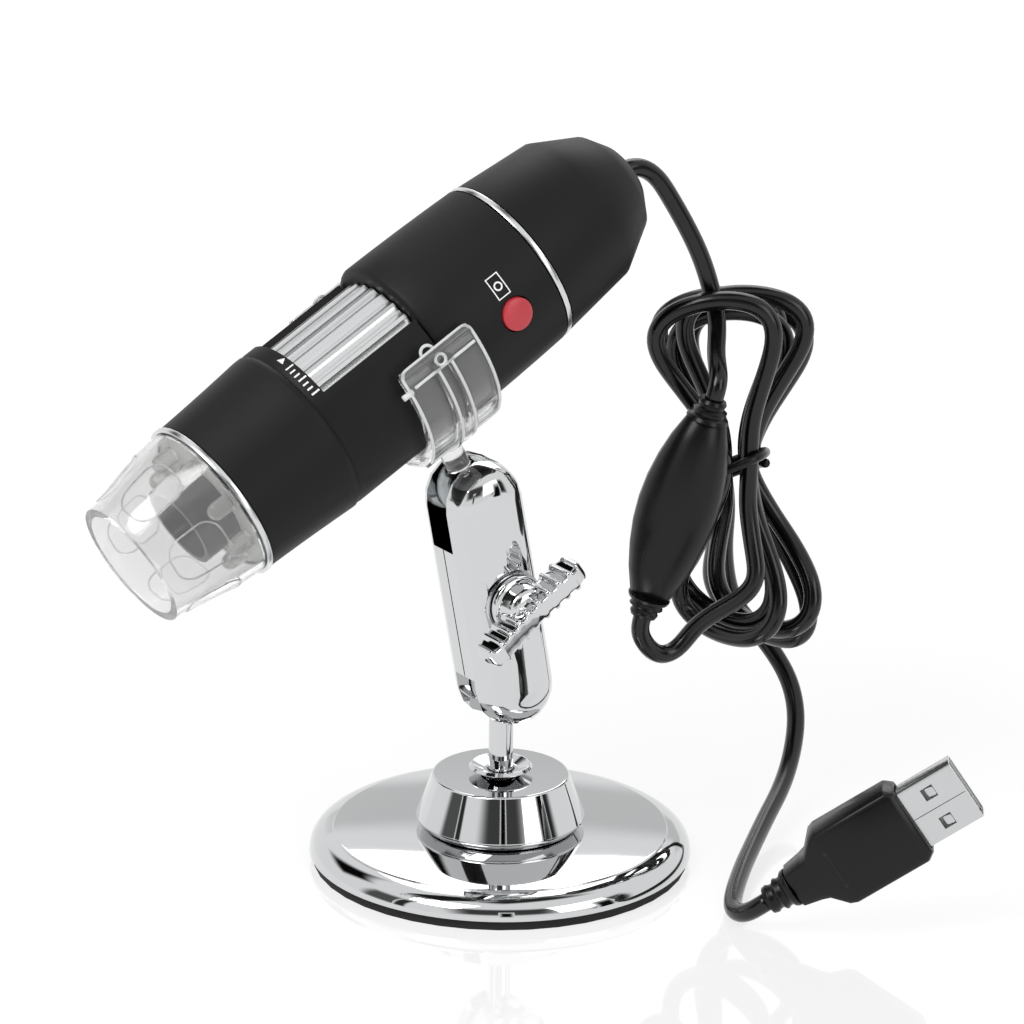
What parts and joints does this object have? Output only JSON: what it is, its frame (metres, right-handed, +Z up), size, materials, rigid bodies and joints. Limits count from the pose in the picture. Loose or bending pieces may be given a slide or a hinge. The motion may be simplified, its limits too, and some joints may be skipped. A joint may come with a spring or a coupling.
{
  "type": "usb digital microscope",
  "caption": "Digital microscope on a weighted round stand: two ball joints, clamp knob, clear cradle and nose, ring lights, focus wheel, button, and a tied cord with a dimmer and plug.",
  "frame": {"origin": "centre of the foot pad's underside, on the surface that the stand rests on, under the rod", "axes": "+Z up along the rod; -Y towards the viewer of the picture; +X to the viewer's right"},
  "size_m": [0.1584, 0.1027, 0.1346],
  "materials": {
    "chrome_plate": "bright chrome plate on die cast metal",
    "plated_steel": "nickel plated steel",
    "foam_rubber": "closed cell foam rubber, matte",
    "cast_iron": "rough casting",
    "clear_plastic": "clear moulded acrylic, polished",
    "satin_silver": "satin turned",
    "soft_black_coat": "soft-touch black coat",
    "black_plastic": "moulded black, half gloss",
    "circuit_board": "white lacquered board",
    "lamp_lens": "clear epoxy lamp",
    "green_board": "green lacquered board",
    "lens_glass": "coated glass",
    "red_plastic": "moulded red, half gloss",
    "cord_jacket": "smooth glossy jacket",
    "white_plastic": "moulded white"
  },
  "bodies": {
    "base": {"foot_pad": "foam_rubber", "base_shell": "chrome_plate", "base_weight": "cast_iron", "base_screw": "plated_steel", "hub": "chrome_plate", "rod_collar": "chrome_plate", "rod": "chrome_plate"},
    "ball_low": {"lower_ball": "chrome_plate"},
    "arm": {"arm_back_shell": "chrome_plate", "clamp_bolt": "plated_steel"},
    "clamp": {"arm_front_shell": "chrome_plate", "knob_washer": "plated_steel"},
    "knob": {"wing_knob": "chrome_plate"},
    "ball_high": {"upper_ball": "clear_plastic"},
    "clip": {"cradle": "clear_plastic"},
    "scope": {"shroud": "clear_plastic", "front_ring": "satin_silver", "front_housing": "soft_black_coat", "housing_collar": "soft_black_coat", "rear_housing": "soft_black_coat", "rear_ring": "satin_silver", "rear_cap": "soft_black_coat", "tail_gland": "black_plastic", "light_board": "circuit_board", "lens_hood": "black_plastic", "lamp_1": "lamp_lens", "lamp_2": "lamp_lens", "lamp_3": "lamp_lens", "lamp_4": "lamp_lens", "lamp_5": "lamp_lens", "lamp_6": "lamp_lens", "lamp_7": "lamp_lens", "lamp_8": "lamp_lens", "inner_sleeve": "black_plastic", "sensor_board": "green_board", "image_sensor": "lens_glass", "shutter_switch": "black_plastic", "switch_board": "green_board", "cord_upper": "cord_jacket", "dimmer_housing": "black_plastic", "dimmer_relief_top": "black_plastic", "dimmer_relief_bottom": "black_plastic", "cord_hank": "cord_jacket", "hank_tie": "black_plastic", "cord_lower": "cord_jacket", "plug_relief": "black_plastic", "plug_grip": "black_plastic", "plug_shell": "plated_steel", "plug_tongue": "white_plastic"},
    "focus": {"focus_wheel": "chrome_plate"},
    "lens_slide": {"lens_carrier": "black_plastic", "lens": "lens_glass"},
    "button": {"shutter_button": "red_plastic"},
    "thumbwheel": {"dimmer_wheel": "black_plastic"}
  },
  "joints": [
    {"name": "lower_spin", "type": "hinge", "parent": "base", "child": "ball_low", "pos_m": [0, 0, 0.035], "axis": [0, 0, 1], "continuous": true},
    {"name": "lower_swing", "type": "hinge", "parent": "ball_low", "child": "arm", "pos_m": [0, 0, 0.035], "axis": [0.5664, -0.8241, 0], "range_deg": [-20, 20]},
    {"name": "clamp_open", "type": "slide", "parent": "arm", "child": "clamp", "axis": [0.5664, -0.8241, 0], "range_m": [0, 0.0014]},
    {"name": "knob_turn", "type": "hinge", "parent": "clamp", "child": "knob", "pos_m": [0.00233, -0.00968, 0.05331], "axis": [0.5664, -0.8241, 0], "range_deg": [0, 720]},
    {"name": "upper_swing", "type": "hinge", "parent": "arm", "child": "ball_high", "pos_m": [-0.00618, -0.00425, 0.07358], "axis": [-0.5664, 0.8241, 0], "range_deg": [-35, 15]},
    {"name": "upper_spin", "type": "hinge", "parent": "ball_high", "child": "clip", "pos_m": [-0.00618, -0.00425, 0.07358], "axis": [-0.3869, -0.2659, 0.8829], "range_deg": [-40, 40]},
    {"name": "scope_roll", "type": "hinge", "parent": "clip", "child": "scope", "pos_m": [-0.05021, -0.03451, 0.08141], "axis": [0.7277, 0.5001, 0.4695], "range_deg": [-45, 8]},
    {"name": "focus_turn", "type": "hinge", "parent": "scope", "child": "focus", "pos_m": [-0.05021, -0.03451, 0.08141], "axis": [0.7277, 0.5001, 0.4695], "range_deg": [0, 300]},
    {"name": "lens_travel", "type": "slide", "parent": "scope", "child": "lens_slide", "axis": [0.7277, 0.5001, 0.4695], "range_m": [0, 0.008]},
    {"name": "button_press", "type": "slide", "parent": "scope", "child": "button", "axis": [-0.5343, 0.8424, -0.0693], "range_m": [0, 0.0005], "stiffness_N_per_m": 800},
    {"name": "dimmer_turn", "type": "hinge", "parent": "scope", "child": "thumbwheel", "pos_m": [0.03173, 0.00767, 0.06629], "axis": [-0.9605, 0, 0.2784], "range_deg": [0, 270]}
  ],
  "couplings": [
    {"joint": "knob_turn", "follows": "clamp_open", "rad_per_m": 8976},
    {"joint": "focus_turn", "follows": "lens_travel", "rad_per_m": 654.5}
  ]
}
